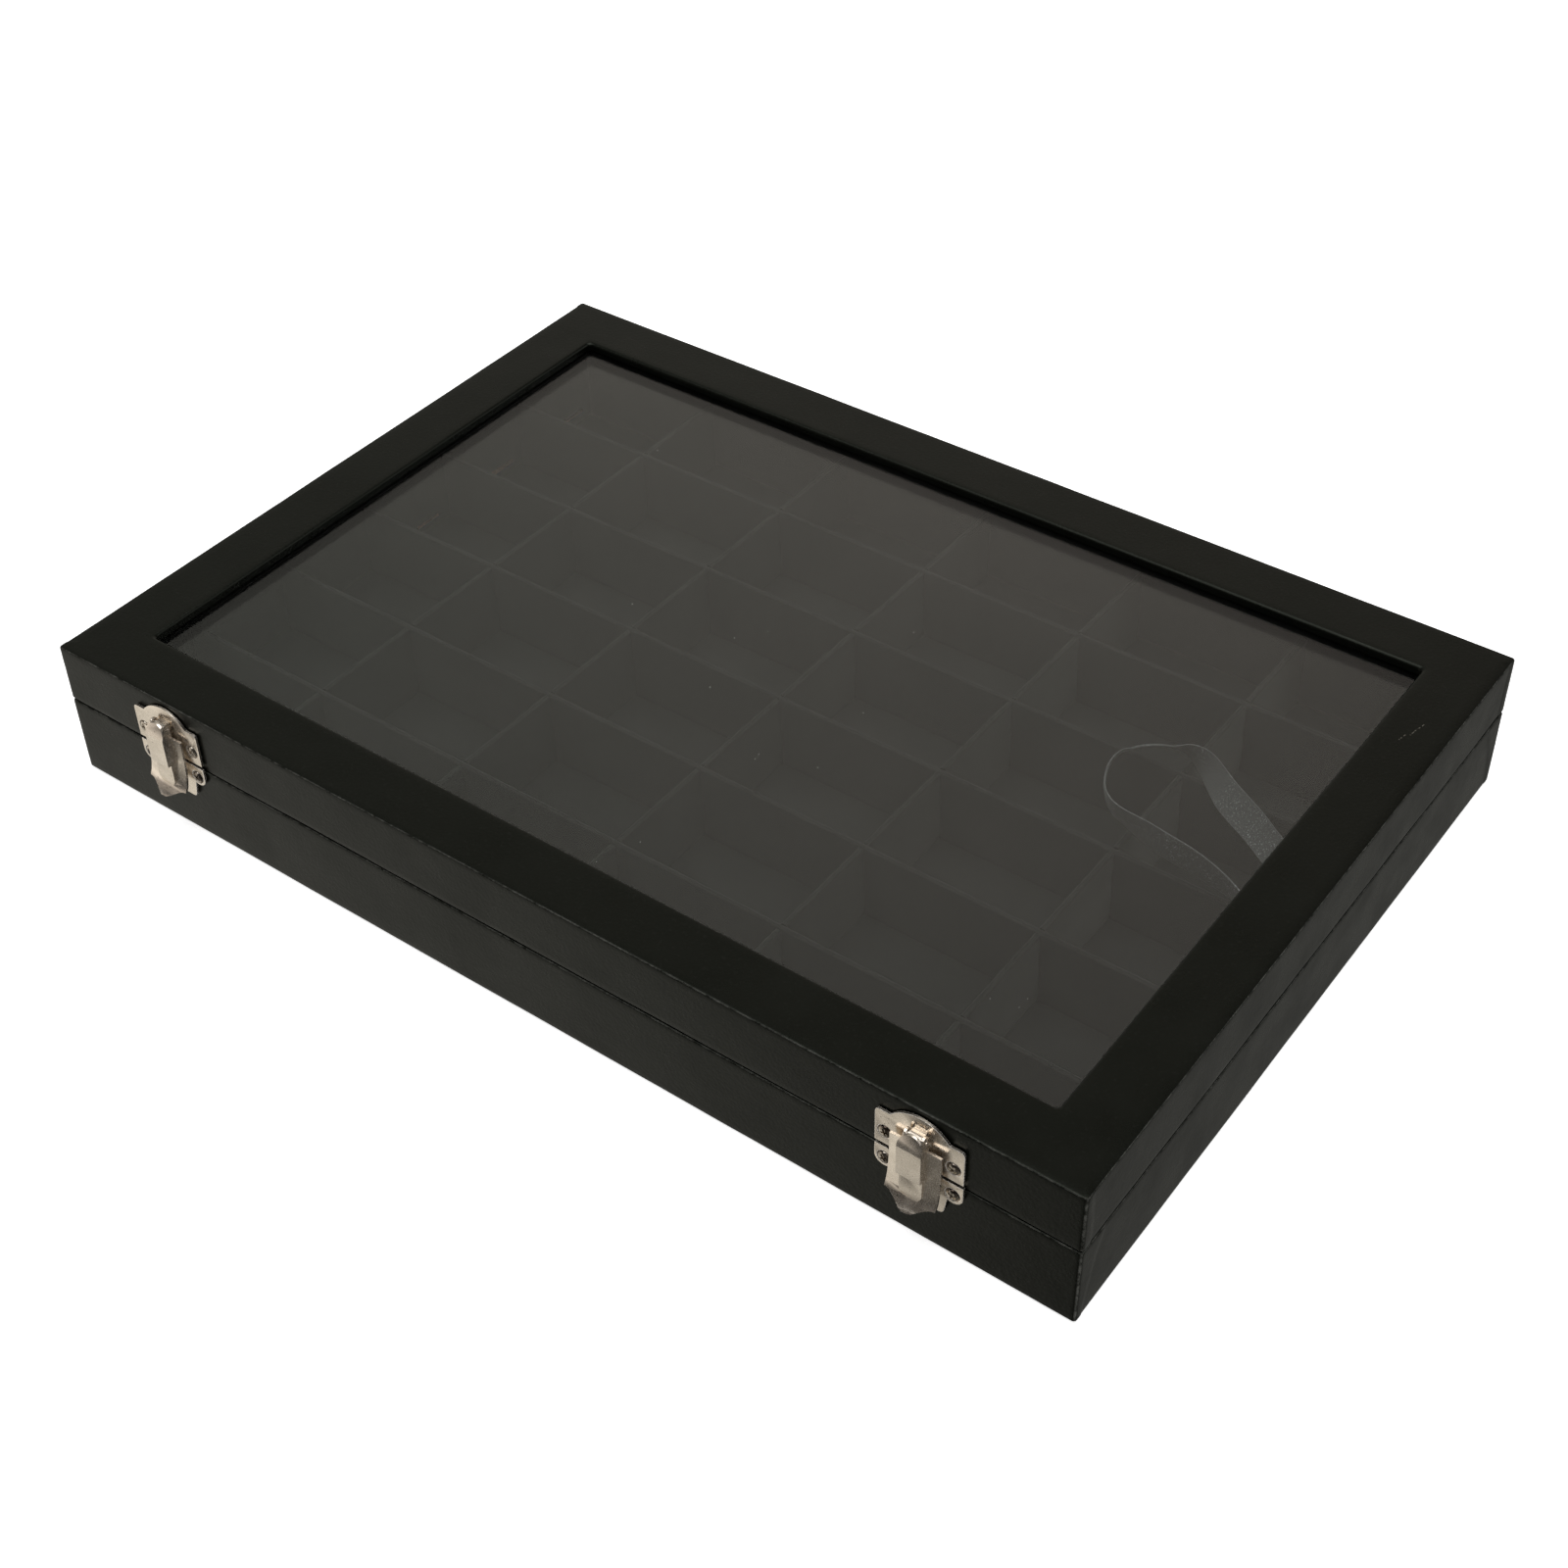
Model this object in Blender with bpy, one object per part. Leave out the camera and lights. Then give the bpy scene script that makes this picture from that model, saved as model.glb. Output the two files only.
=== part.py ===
"""Hinged display case with a glass lid, for coins and medals.

Metres, +Z up. The origin is the centre of the resting face. +X runs along the front to the right, the
clasps are on the -Y side and the hinges on the +Y side. The lid is closed.
"""

import math

import bmesh
import bpy
from mathutils import Matrix, Vector

MM = 0.001

# The case outside
LENGTH = 350 * MM
DEPTH = 240 * MM
BASE_HEIGHT = 27 * MM
LID_HEIGHT = 19.6 * MM
SEAM = 0.4 * MM
CORNER_RADIUS = 2.0 * MM
INNER_CORNER = 0.4 * MM
EDGE_RADIUS = 1.2 * MM

# Sheets and boards
GAP = 0.3 * MM
COVER = 0.6 * MM
WALL_BOARD = 3.6 * MM
BOTTOM_BOARD = 2.1 * MM
TOP_BOARD = 1.8 * MM
FLOOR_PAD = 1.2 * MM
LINING = 1.0 * MM

# Lid window and glass
BORDER = 20 * MM
GLASS = 2.0 * MM
STRIP = 2.0 * MM
STRIP_CLEARANCE = 0.8 * MM

# Cells
COLUMNS = 6
ROWS = 6
DIVIDER = 1.8 * MM
DIVIDER_PROUD = 3.0 * MM
SLOT_CLEARANCE = 0.3 * MM

# Clasps: D is the distance out from the front face, Z is the height above the base's rim
CLASP_X = 130 * MM
PLATE = 0.7 * MM
PLATE_HALF = 12.8 * MM
UPPER_PLATE_BOTTOM = 2.6 * MM
UPPER_EAR_TOP = 14.2 * MM
DOME_TOP = 18.4 * MM
DOME_HALF = 8.5 * MM
LOWER_PLATE_TOP = 1.4 * MM
LOWER_PLATE_BOTTOM = -11.4 * MM
LOWER_PLATE_WAIST = 7.4 * MM
EAR_RADIUS = 1.4 * MM
UPPER_SCREW_X = 9.8 * MM
UPPER_SCREW_Z = 7 * MM
LOWER_SCREW_X = 9.9 * MM
LOWER_SCREW_Z = -2.6 * MM
PIN_D = 2.7 * MM
PIN_Z = 13.6 * MM
PIN_RADIUS = 0.36 * MM
PIN_CLEARANCE = 0.07 * MM
KNUCKLE_RADIUS = 1.42 * MM
LUG_RADIUS = 0.82 * MM
LUG_HALF = 1.9 * MM
FLAP_HALF = 7.4 * MM
FLAP_TOP = 10.2 * MM
FLAP_CORNER_Z = -7.6 * MM
FLAP_TIP_Z = -10.4 * MM
FLAP_SHEET = 0.7 * MM
FLAP_STAND = 1.0 * MM
NOSE_HALF = 3.55 * MM
NOSE_WALL = 0.8 * MM
NOSE_FACE_D = 5.7 * MM
NOSE_BOTTOM = 1 * MM
FACET_BOTTOM = 10.8 * MM
NOSE_TOP = 15.1 * MM
TONGUE_D = 4.5 * MM
TONGUE_BOTTOM = -8 * MM
FACET_LEAN = 0.34
CATCH_PROUD = 0.35 * MM
CATCH_HALF = 2.4 * MM
CATCH_LOW = -5 * MM
CATCH_HIGH = -2.6 * MM

# The flap's curl: how far out from its straight part, and how far down from its top
FLAP_CURL = [
    (0, 0),
    (0.05 * MM, 7 * MM),
    (0.3 * MM, 11 * MM),
    (0.65 * MM, 14 * MM),
    (1.2 * MM, 16.4 * MM),
    (2.1 * MM, 18.3 * MM),
    (3.3 * MM, 19.8 * MM),
    (4.6 * MM, 21 * MM),
]

# Screws
HEAD_RADIUS = 1.9 * MM
HEAD_DOME = 0.55 * MM
HEAD_CLEARANCE = 0.35 * MM
SHANK_RADIUS = 0.8 * MM
SHANK_POINT = 1.2 * MM
RECESS_HALF = 0.28 * MM
RECESS_REACH = 1.15 * MM
RECESS_DEPTH = 0.7 * MM

# Rear hinges
HINGE_X = 105 * MM
HINGE_WIDTH = 26 * MM
LEAF = 0.8 * MM
LEAF_HEIGHT = 9.5 * MM
BARREL_RADIUS = 1.6 * MM
HINGE_PIN_RADIUS = 0.75 * MM
NAIL_X = 8.5 * MM
NAIL_HEAD = 1.7 * MM
NAIL_HEIGHT = 5.5 * MM

# Ribbon stay
RIBBON_WIDTH = 9.5 * MM
RIBBON_SHEET = 0.35 * MM
RIBBON_LOOP = 19 * MM
RIBBON_LOOP_X = 116 * MM
RIBBON_LOOP_Y = 23.5 * MM
RIBBON_LID_Y = 13 * MM
RIBBON_BASE_Y = -4 * MM

# Levels and half sizes that follow from the sizes above
HALF_X = LENGTH / 2
HALF_Y = DEPTH / 2
RIM = BASE_HEIGHT
LID_BOTTOM = RIM + SEAM
LID_TOP = LID_BOTTOM + LID_HEIGHT
BOARD_OUT = COVER + GAP
BOARD_IN = BOARD_OUT + WALL_BOARD
LINING_OUT = BOARD_IN + GAP
LINING_IN = LINING_OUT + LINING
BOTTOM_BOARD_Z = COVER + GAP
WALL_Z = BOTTOM_BOARD_Z + BOTTOM_BOARD + GAP
FLOOR_Z = WALL_Z
CELL_FLOOR_Z = FLOOR_Z + FLOOR_PAD
DIVIDER_Z = CELL_FLOOR_Z + GAP
DIVIDER_TOP = RIM + DIVIDER_PROUD
TOP_BOARD_Z = LID_TOP - COVER - GAP - TOP_BOARD
GLASS_TOP = TOP_BOARD_Z - GAP
GLASS_Z = GLASS_TOP - GLASS
STRIP_TOP = GLASS_Z - GAP
STRIP_Z = DIVIDER_TOP + STRIP_CLEARANCE
RIBBON_Z = DIVIDER_TOP + 2 * GAP
PLATE_BACK = GAP
PLATE_FRONT = GAP + PLATE
HINGE_Y = HALF_Y + GAP + BARREL_RADIUS
HINGE_Z = RIM + SEAM / 2
SCREW_REACH = BOARD_IN - GAP


def clear_scene():
    for obj in list(bpy.data.objects):
        bpy.data.objects.remove(obj)


def material(name, color, roughness, metallic=0.0, alpha=1.0):
    made = bpy.data.materials.new(name)
    made.use_nodes = True
    shader = made.node_tree.nodes["Principled BSDF"]
    shader.inputs["Base Color"].default_value = (*color, 1.0)
    shader.inputs["Roughness"].default_value = roughness
    shader.inputs["Metallic"].default_value = metallic
    shader.inputs["Alpha"].default_value = alpha
    return made


FINISHES = {
    "leatherette": ((0.022, 0.024, 0.022), 0.42),
    "board": ((0.55, 0.42, 0.28), 0.8),
    "velvet": ((0.012, 0.012, 0.014), 0.95),
    "nickel": ((0.72, 0.68, 0.64), 0.22, 1.0),
    "glass": ((0.85, 0.9, 0.9), 0.03, 0.0, 0.25),
    "ribbon": ((0.1, 0.1, 0.11), 0.45),
}


def add(name, bm, finish, parent=None, origin=(0, 0, 0), helper=False):
    """Makes an object from bm, whose points are in the parent's space, with its own origin at origin."""
    bmesh.ops.translate(bm, vec=-Vector(origin), verts=bm.verts)
    bmesh.ops.recalc_face_normals(bm, faces=bm.faces)
    mesh = bpy.data.meshes.new(name)
    bm.to_mesh(mesh)
    bm.free()
    obj = bpy.data.objects.new(name, mesh)
    bpy.context.scene.collection.objects.link(obj)
    obj.location = origin
    obj.parent = parent
    if helper:
        obj.hide_render = True
        obj.display_type = "WIRE"
    else:
        mesh.materials.append(material(name, *FINISHES[finish]))
    return obj


def combine(obj, tool, operation):
    modifier = obj.modifiers.new(tool.name, "BOOLEAN")
    modifier.operation = operation
    modifier.solver = "EXACT"
    modifier.object = tool


def smooth(obj, degrees=35):
    obj.data.shade_smooth()
    obj.data.set_sharp_from_angle(angle=math.radians(degrees))


def box(low, high):
    bm = bmesh.new()
    size = Vector(high) - Vector(low)
    middle = (Vector(high) + Vector(low)) / 2
    bmesh.ops.create_cube(bm, matrix=Matrix.Translation(middle) @ Matrix.Diagonal((*size, 1)))
    return bm


def prism(outline, place, low, high):
    """The outline's (u, v) points swept from low to high. place(u, v, w) gives the point in space."""
    bm = bmesh.new()
    ends = [[bm.verts.new(place(u, v, w)) for u, v in outline] for w in (low, high)]
    for end in ends:
        bm.faces.new(end)
    for i in range(len(outline)):
        j = (i + 1) % len(outline)
        bm.faces.new((ends[0][i], ends[0][j], ends[1][j], ends[1][i]))
    return bm


def in_front_view(u, v, w):
    """u is X, v is Z and w is the distance out from the front face."""
    return (u, -w, v)


def in_side_view(u, v, w):
    """u is the distance out from the front face, v is Z and w is X."""
    return (w, -u, v)


def in_back_view(u, v, w):
    """u is Y, v is Z and w is X."""
    return (w, u, v)


def arc(centre, radius, start, end, steps):
    points = []
    for i in range(steps + 1):
        a = math.radians(start + (end - start) * i / steps)
        points.append((centre[0] + radius * math.cos(a), centre[1] + radius * math.sin(a)))
    return points


def turned(profile, place, steps=20):
    """The (radius, height) profile turned round an axis. place(x, y, height) gives the point in space."""
    bm = bmesh.new()
    rings = []
    for radius, height in profile:
        if radius == 0:
            rings.append([bm.verts.new(place(0, 0, height))])
            continue
        circle = arc((0, 0), radius, 0, 360, steps)[:-1]
        rings.append([bm.verts.new(place(x, y, height)) for x, y in circle])
    for first, second in zip(rings, rings[1:]):
        for i in range(steps):
            j = (i + 1) % steps
            corners = [first[i % len(first)], first[j % len(first)]]
            corners += [second[j % len(second)], second[i % len(second)]]
            bm.faces.new(list(dict.fromkeys(corners)))
    for ring in (rings[0], rings[-1]):
        if len(ring) > 1:
            bm.faces.new(ring)
    return bm


def rod(name, radius, place, low, high, finish, **options):
    return add(name, turned([(radius, low), (radius, high)], place), finish, **options)


def rectangle_loop(half_x, half_y, radius, steps=4):
    points = []
    for quarter, (sx, sy) in enumerate(((1, 1), (-1, 1), (-1, -1), (1, -1))):
        centre = (sx * (half_x - radius), sy * (half_y - radius))
        points += arc(centre, radius, 90 * quarter, 90 * quarter + 90, steps)
    return points


def ring(outside, inside):
    """A closed skin round the case, from profile points that are (inset from the case's sides, height)."""
    bm = bmesh.new()
    loops = []
    for i, (inset, height) in enumerate(outside + inside):
        radius = max(CORNER_RADIUS - inset, INNER_CORNER) if i < len(outside) else INNER_CORNER
        points = rectangle_loop(HALF_X - inset, HALF_Y - inset, radius)
        loops.append([bm.verts.new((x, y, height)) for x, y in points])
    for first, second in zip(loops, loops[1:] + loops[:1]):
        for i in range(len(first)):
            j = (i + 1) % len(first)
            bm.faces.new((first[i], first[j], second[j], second[i]))
    return bm


def four_sides(name, inset_out, inset_in, low, high, finish):
    """Four straight pieces round the case: the long ones reach the corners, the short ones fit between."""
    made = {}
    for side, sign in (("front", -1), ("back", 1)):
        ys = sorted((sign * (HALF_Y - inset_out), sign * (HALF_Y - inset_in)))
        reach = HALF_X - inset_out
        made[side] = add(f"{name}_{side}", box((-reach, ys[0], low), (reach, ys[1], high)), finish)
    for side, sign in (("left", -1), ("right", 1)):
        xs = sorted((sign * (HALF_X - inset_out), sign * (HALF_X - inset_in)))
        reach = HALF_Y - inset_in - GAP
        made[side] = add(f"{name}_{side}", box((xs[0], -reach, low), (xs[1], reach, high)), finish)
    return made


def outer_edge(height, start):
    """The covering's rounded outer edge at that height: the lower one starts at 270 degrees, the upper at 180."""
    inward = 1 if start == 270 else -1
    return arc((EDGE_RADIUS, height + inward * EDGE_RADIUS), EDGE_RADIUS, start, start - 90, 3)


def make_base():
    walls = four_sides("base_wall", BOARD_OUT, BOARD_IN, WALL_Z, RIM - COVER - GAP, "board")
    outside = [(0, GAP)] + outer_edge(RIM, 180) + [(BOARD_IN, RIM)]
    inside = [(BOARD_IN, RIM - COVER), (COVER, RIM - COVER), (COVER, GAP)]
    wrap = add("base_leatherette", ring(outside, inside), "leatherette")
    smooth(wrap)
    reach_x, reach_y = HALF_X - BOARD_OUT, HALF_Y - BOARD_OUT
    add("base_bottom_cover", box((-reach_x, -reach_y, 0), (reach_x, reach_y, COVER)), "leatherette")
    low = BOTTOM_BOARD_Z
    board = box((-reach_x, -reach_y, low), (reach_x, reach_y, low + BOTTOM_BOARD))
    add("base_bottom_board", board, "board")
    reach_x, reach_y = HALF_X - BOARD_IN - GAP, HALF_Y - BOARD_IN - GAP
    pad = box((-reach_x, -reach_y, FLOOR_Z), (reach_x, reach_y, FLOOR_Z + FLOOR_PAD))
    add("floor_velvet", pad, "velvet")
    four_sides("lining", LINING_OUT, LINING_IN, DIVIDER_Z, DIVIDER_TOP, "velvet")
    return walls, wrap


def comb(length, count, pitch, low, high, slot_low, slot_high):
    """A divider's outline: a board with count slots, pitch apart, open at slot_low or at slot_high."""
    half_slot = DIVIDER / 2 + SLOT_CLEARANCE
    places = [(i - (count - 1) / 2) * pitch for i in range(count)]
    bottom, top = [(-length / 2, low)], [(-length / 2, high)]
    for x in places:
        edge, depth, line = (low, slot_high, bottom) if slot_low <= low else (high, slot_low, top)
        left, right = x - half_slot, x + half_slot
        line += [(left, edge), (left, depth), (right, depth), (right, edge)]
    bottom.append((length / 2, low))
    top.append((length / 2, high))
    return bottom + top[::-1]


def make_dividers():
    """Half-lapped dividers: those across the case are slotted from above, those along it from below."""
    inside_x = LENGTH - 2 * (LINING_IN + GAP)
    inside_y = DEPTH - 2 * (LINING_IN + GAP)
    pitch_x = (inside_x + DIVIDER) / COLUMNS
    pitch_y = (inside_y + DIVIDER) / ROWS
    low, high = DIVIDER_Z, DIVIDER_TOP
    middle = (low + high) / 2
    across = comb(inside_y, ROWS - 1, pitch_y, low, high, middle - GAP / 2, high)
    along = comb(inside_x, COLUMNS - 1, pitch_x, low, high, low, middle + GAP / 2)
    for i in range(COLUMNS - 1):
        x = (i - (COLUMNS - 2) / 2) * pitch_x
        bm = prism(across, in_back_view, -DIVIDER / 2, DIVIDER / 2)
        add(f"divider_across_{i + 1}", bm, "velvet").location.x = x
    for i in range(ROWS - 1):
        y = (i - (ROWS - 2) / 2) * pitch_y
        bm = prism(along, lambda u, v, w: (u, w, v), -DIVIDER / 2, DIVIDER / 2)
        add(f"divider_along_{i + 1}", bm, "velvet").location.y = y


def make_lid(hinge):
    wall_low, wall_high = LID_BOTTOM + COVER + GAP, TOP_BOARD_Z - GAP
    walls = four_sides("lid_wall", BOARD_OUT, BOARD_IN, wall_low, wall_high, "board")
    inner = BORDER - COVER - GAP
    tops = four_sides("lid_top", BOARD_OUT, inner, TOP_BOARD_Z, TOP_BOARD_Z + TOP_BOARD, "board")
    reveal = arc((BORDER - EDGE_RADIUS, LID_TOP - EDGE_RADIUS), EDGE_RADIUS, 90, 0, 3)
    outside = [(BOARD_IN, LID_BOTTOM)] + outer_edge(LID_BOTTOM, 270) + outer_edge(LID_TOP, 180)
    outside += reveal + [(BORDER, GLASS_TOP + GAP)]
    inside = [
        (BORDER - COVER, GLASS_TOP + GAP),
        (BORDER - COVER, LID_TOP - COVER),
        (COVER, LID_TOP - COVER),
        (COVER, LID_BOTTOM + COVER),
        (BOARD_IN, LID_BOTTOM + COVER),
    ]
    wrap = add("lid_leatherette", ring(outside, inside), "leatherette")
    smooth(wrap)
    reach_x, reach_y = HALF_X - LINING_OUT, HALF_Y - LINING_OUT
    pane = add("glass_pane", box((-reach_x, -reach_y, GLASS_Z), (reach_x, reach_y, GLASS_TOP)), "glass")
    strips = four_sides("glass_strip", LINING_OUT, LINING_OUT + STRIP, STRIP_Z, STRIP_TOP, "velvet")
    for obj in [*walls.values(), *tops.values(), wrap, pane, *strips.values()]:
        carry(obj, hinge)
    return walls, wrap


def carry(obj, parent):
    """Parents obj to the empty, which has no turn, and leaves it where it is."""
    obj.parent = parent
    obj.location -= parent.location


def empty(name, location, parent=None):
    made = bpy.data.objects.new(name, None)
    bpy.context.scene.collection.objects.link(made)
    made.location = location
    made.parent = parent
    return made


def rounded(outline, corners, radius, steps=4):
    """Replaces the outline's corners of the given indices by arcs of about the given radius."""
    result = []
    for i, point in enumerate(outline):
        if i not in corners:
            result.append(point)
            continue
        p = Vector(point)
        before = (Vector(outline[i - 1]) - p).normalized() * radius
        after = (Vector(outline[(i + 1) % len(outline)]) - p).normalized() * radius
        for k in range(steps + 1):
            t = k / steps
            blend = p + before * (1 - t) ** 2 + after * t**2
            result.append(tuple(blend))
    return result


def upper_plate_outline():
    """Two square ears with rounded tops, and a low dome between them."""
    rise = DOME_TOP - UPPER_EAR_TOP
    radius = (DOME_HALF**2 + rise**2) / (2 * rise)
    centre = (0, DOME_TOP - radius)
    spread = math.degrees(math.asin(DOME_HALF / radius))
    outline = [(-PLATE_HALF, UPPER_PLATE_BOTTOM), (PLATE_HALF, UPPER_PLATE_BOTTOM)]
    outline.append((PLATE_HALF, UPPER_EAR_TOP))
    outline += arc(centre, radius, 90 - spread, 90 + spread, 16)
    outline.append((-PLATE_HALF, UPPER_EAR_TOP))
    return rounded(outline, (2, len(outline) - 1), EAR_RADIUS)


def lower_plate_outline():
    """Two ears that are round below their screws, and straight sides from them to a narrow bottom."""
    ear = PLATE_HALF - LOWER_SCREW_X
    right = arc((LOWER_SCREW_X, LOWER_SCREW_Z), ear, -120, 0, 10)
    right.append((PLATE_HALF, LOWER_PLATE_TOP))
    left = [(-x, z) for x, z in reversed(right)]
    bottom = [(-LOWER_PLATE_WAIST, LOWER_PLATE_BOTTOM), (LOWER_PLATE_WAIST, LOWER_PLATE_BOTTOM)]
    return rounded(bottom + right + left, (0, 1), EAR_RADIUS)


def front_axis(x, z):
    """Placement for a turned piece whose axis points out of the front face at (x, z)."""
    return lambda u, v, height: (x + u, -height, z + v)


def cross_axis(d, z):
    """Placement for a turned piece whose axis is along X, d out from the front face and at height z."""
    return lambda u, v, height: (height, -(d + u), z + v)


def make_plate(name, outline, screws, parent, origin):
    plate = add(name, prism(outline, in_front_view, PLATE_BACK, PLATE_FRONT), "nickel", parent, origin)
    for i, (x, z) in enumerate(screws):
        flare = HEAD_RADIUS + HEAD_CLEARANCE
        profile = [(flare - PLATE - GAP, PLATE_BACK - GAP), (flare + GAP, PLATE_FRONT + GAP)]
        hole = add(f"{name}_hole_{i + 1}", turned(profile, front_axis(x, z)), None, parent, origin, True)
        combine(plate, hole, "DIFFERENCE")
    return plate


def screw_profile():
    """A countersunk, domed head on a plain shank with a blunt point."""
    rim = PLATE_FRONT - 0.05 * MM
    neck = rim - (HEAD_RADIUS - SHANK_RADIUS)
    dome = [(HEAD_RADIUS * math.cos(a), HEAD_DOME * math.sin(a)) for a in map(math.radians, (0, 25, 50, 70))]
    return [
        (0, -SCREW_REACH),
        (SHANK_RADIUS / 3, -SCREW_REACH + 0.1 * MM),
        (SHANK_RADIUS, -SCREW_REACH + SHANK_POINT),
        (SHANK_RADIUS, neck),
        *[(radius, rim + height) for radius, height in dome],
        (0, rim + HEAD_DOME),
    ]


def make_screw(name, x, z, turn, parent, origin):
    screw = add(name, turned(screw_profile(), front_axis(x, z)), "nickel", parent, origin)
    smooth(screw, 30)
    top = PLATE_FRONT + HEAD_DOME
    for k in range(2):
        a = math.radians(turn + 90 * k)
        c, s = math.cos(a), math.sin(a)
        corners = [(-1, -1), (1, -1), (1, 1), (-1, 1)]
        arms = [(RECESS_REACH * u, RECESS_HALF * v) for u, v in corners]
        outline = [(x + c * u - s * v, z + s * u + c * v) for u, v in arms]
        bm = prism(outline, in_front_view, top - RECESS_DEPTH, top + GAP)
        cutter = add(f"{name}_recess_{k + 1}", bm, None, parent, origin, True)
        combine(screw, cutter, "DIFFERENCE")


def drill(boards, name, x, z, parent):
    """Cuts a screw's hole through each board and skin."""
    for obj, radius in boards:
        profile = [(radius, -BOARD_IN - GAP / 2), (radius, GAP / 2)]
        hole = add(f"{obj.name}_{name}", turned(profile, front_axis(x, z)), None, parent, helper=True)
        combine(obj, hole, "DIFFERENCE")


def flap_side_outline():
    """The flap's sheet seen from the side: straight, then curling out into the finger lip."""
    back = PLATE_FRONT + FLAP_STAND
    line = [(back + out, FLAP_TOP - down) for out, down in FLAP_CURL]
    front = []
    for i, point in enumerate(line):
        before, after = Vector(line[max(i - 1, 0)]), Vector(line[min(i + 1, len(line) - 1)])
        along = (after - before).normalized()
        front.append(tuple(Vector(point) + Vector((-along.y, along.x)) * FLAP_SHEET))
    return line + front[::-1]


def flap_front_outline():
    """The flap seen from the front: straight sides and a wavy bottom edge with a round middle lobe."""
    steps = 16
    outline = [(FLAP_HALF, FLAP_TOP + 1 * MM), (-FLAP_HALF, FLAP_TOP + 1 * MM)]
    for i in range(steps + 1):
        x = FLAP_HALF * (2 * i / steps - 1)
        wave = 0.5 + 0.5 * math.cos(math.pi * x / FLAP_HALF)
        outline.append((x, FLAP_CORNER_Z + (FLAP_TIP_Z - FLAP_CORNER_Z) * wave))
    return outline


def nose_side_outline(wall=0.0):
    """The nose seen from the side, moved in by wall at its face and facet."""
    face = NOSE_FACE_D - wall
    top = NOSE_TOP + wall
    return [
        (PIN_D, NOSE_BOTTOM - wall),
        (face, NOSE_BOTTOM - wall),
        (face, FACET_BOTTOM),
        (face - FACET_LEAN * (top - FACET_BOTTOM), top),
        (PIN_D, top),
    ]


def nose_half_at_pin():
    """Half the nose's width at the pin's height, within its round top."""
    return math.sqrt(NOSE_HALF**2 - (PIN_Z - NOSE_TOP + NOSE_HALF) ** 2)


def make_flap(name, parent, pin):
    """The clasp's flap: a curled sheet with a hollow nose, whose cheeks turn on the clasp's pin."""
    sheet = prism(flap_side_outline(), in_side_view, -FLAP_HALF, FLAP_HALF)
    flap = add(name, sheet, "nickel", parent, pin)
    trim = prism(flap_front_outline(), in_front_view, 0, 12 * MM)
    combine(flap, add(f"{name}_trim", trim, None, parent, pin, True), "INTERSECT")

    tongue_radius = NOSE_HALF - 0.2 * MM
    tongue = arc((0, TONGUE_BOTTOM + tongue_radius), tongue_radius, 180, 360, 12)
    tongue += [(tongue_radius, NOSE_BOTTOM + 1 * MM), (-tongue_radius, NOSE_BOTTOM + 1 * MM)]
    bm = prism(tongue, in_front_view, PLATE_FRONT + FLAP_STAND + FLAP_SHEET / 2, TONGUE_D)
    combine(flap, add(f"{name}_tongue", bm, None, parent, pin, True), "UNION")

    root = PLATE_FRONT + FLAP_STAND + 0.2 * MM
    side = nose_side_outline() + [(root, PIN_Z), (root, NOSE_BOTTOM)]
    bm = prism(side, in_side_view, -NOSE_HALF, NOSE_HALF)
    nose = add(f"{name}_nose", bm, None, parent, pin, True)
    arch = arc((0, NOSE_TOP - NOSE_HALF), NOSE_HALF, 0, 180, 14)
    arch += [(-NOSE_HALF, NOSE_BOTTOM - 1 * MM), (NOSE_HALF, NOSE_BOTTOM - 1 * MM)]
    bm = prism(arch, in_front_view, 0, 12 * MM)
    combine(nose, add(f"{name}_arch", bm, None, parent, pin, True), "INTERSECT")
    combine(flap, nose, "UNION")

    reach = nose_half_at_pin() - 0.05 * MM
    bm = turned([(KNUCKLE_RADIUS, -reach), (KNUCKLE_RADIUS, reach)], cross_axis(PIN_D, PIN_Z), 24)
    combine(flap, add(f"{name}_cheeks", bm, None, parent, pin, True), "UNION")

    hollow = nose_side_outline(NOSE_WALL)
    hollow += [(-1 * MM, NOSE_TOP + 1 * MM), (-1 * MM, NOSE_BOTTOM - NOSE_WALL)]
    half = LUG_HALF + GAP
    bm = prism(hollow, in_side_view, -half, half)
    combine(flap, add(f"{name}_hollow", bm, None, parent, pin, True), "DIFFERENCE")
    reach = NOSE_HALF + 1 * MM
    bore = PIN_RADIUS + PIN_CLEARANCE
    bm = turned([(bore, -reach), (bore, reach)], cross_axis(PIN_D, PIN_Z))
    combine(flap, add(f"{name}_bore", bm, None, parent, pin, True), "DIFFERENCE")
    return flap


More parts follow.
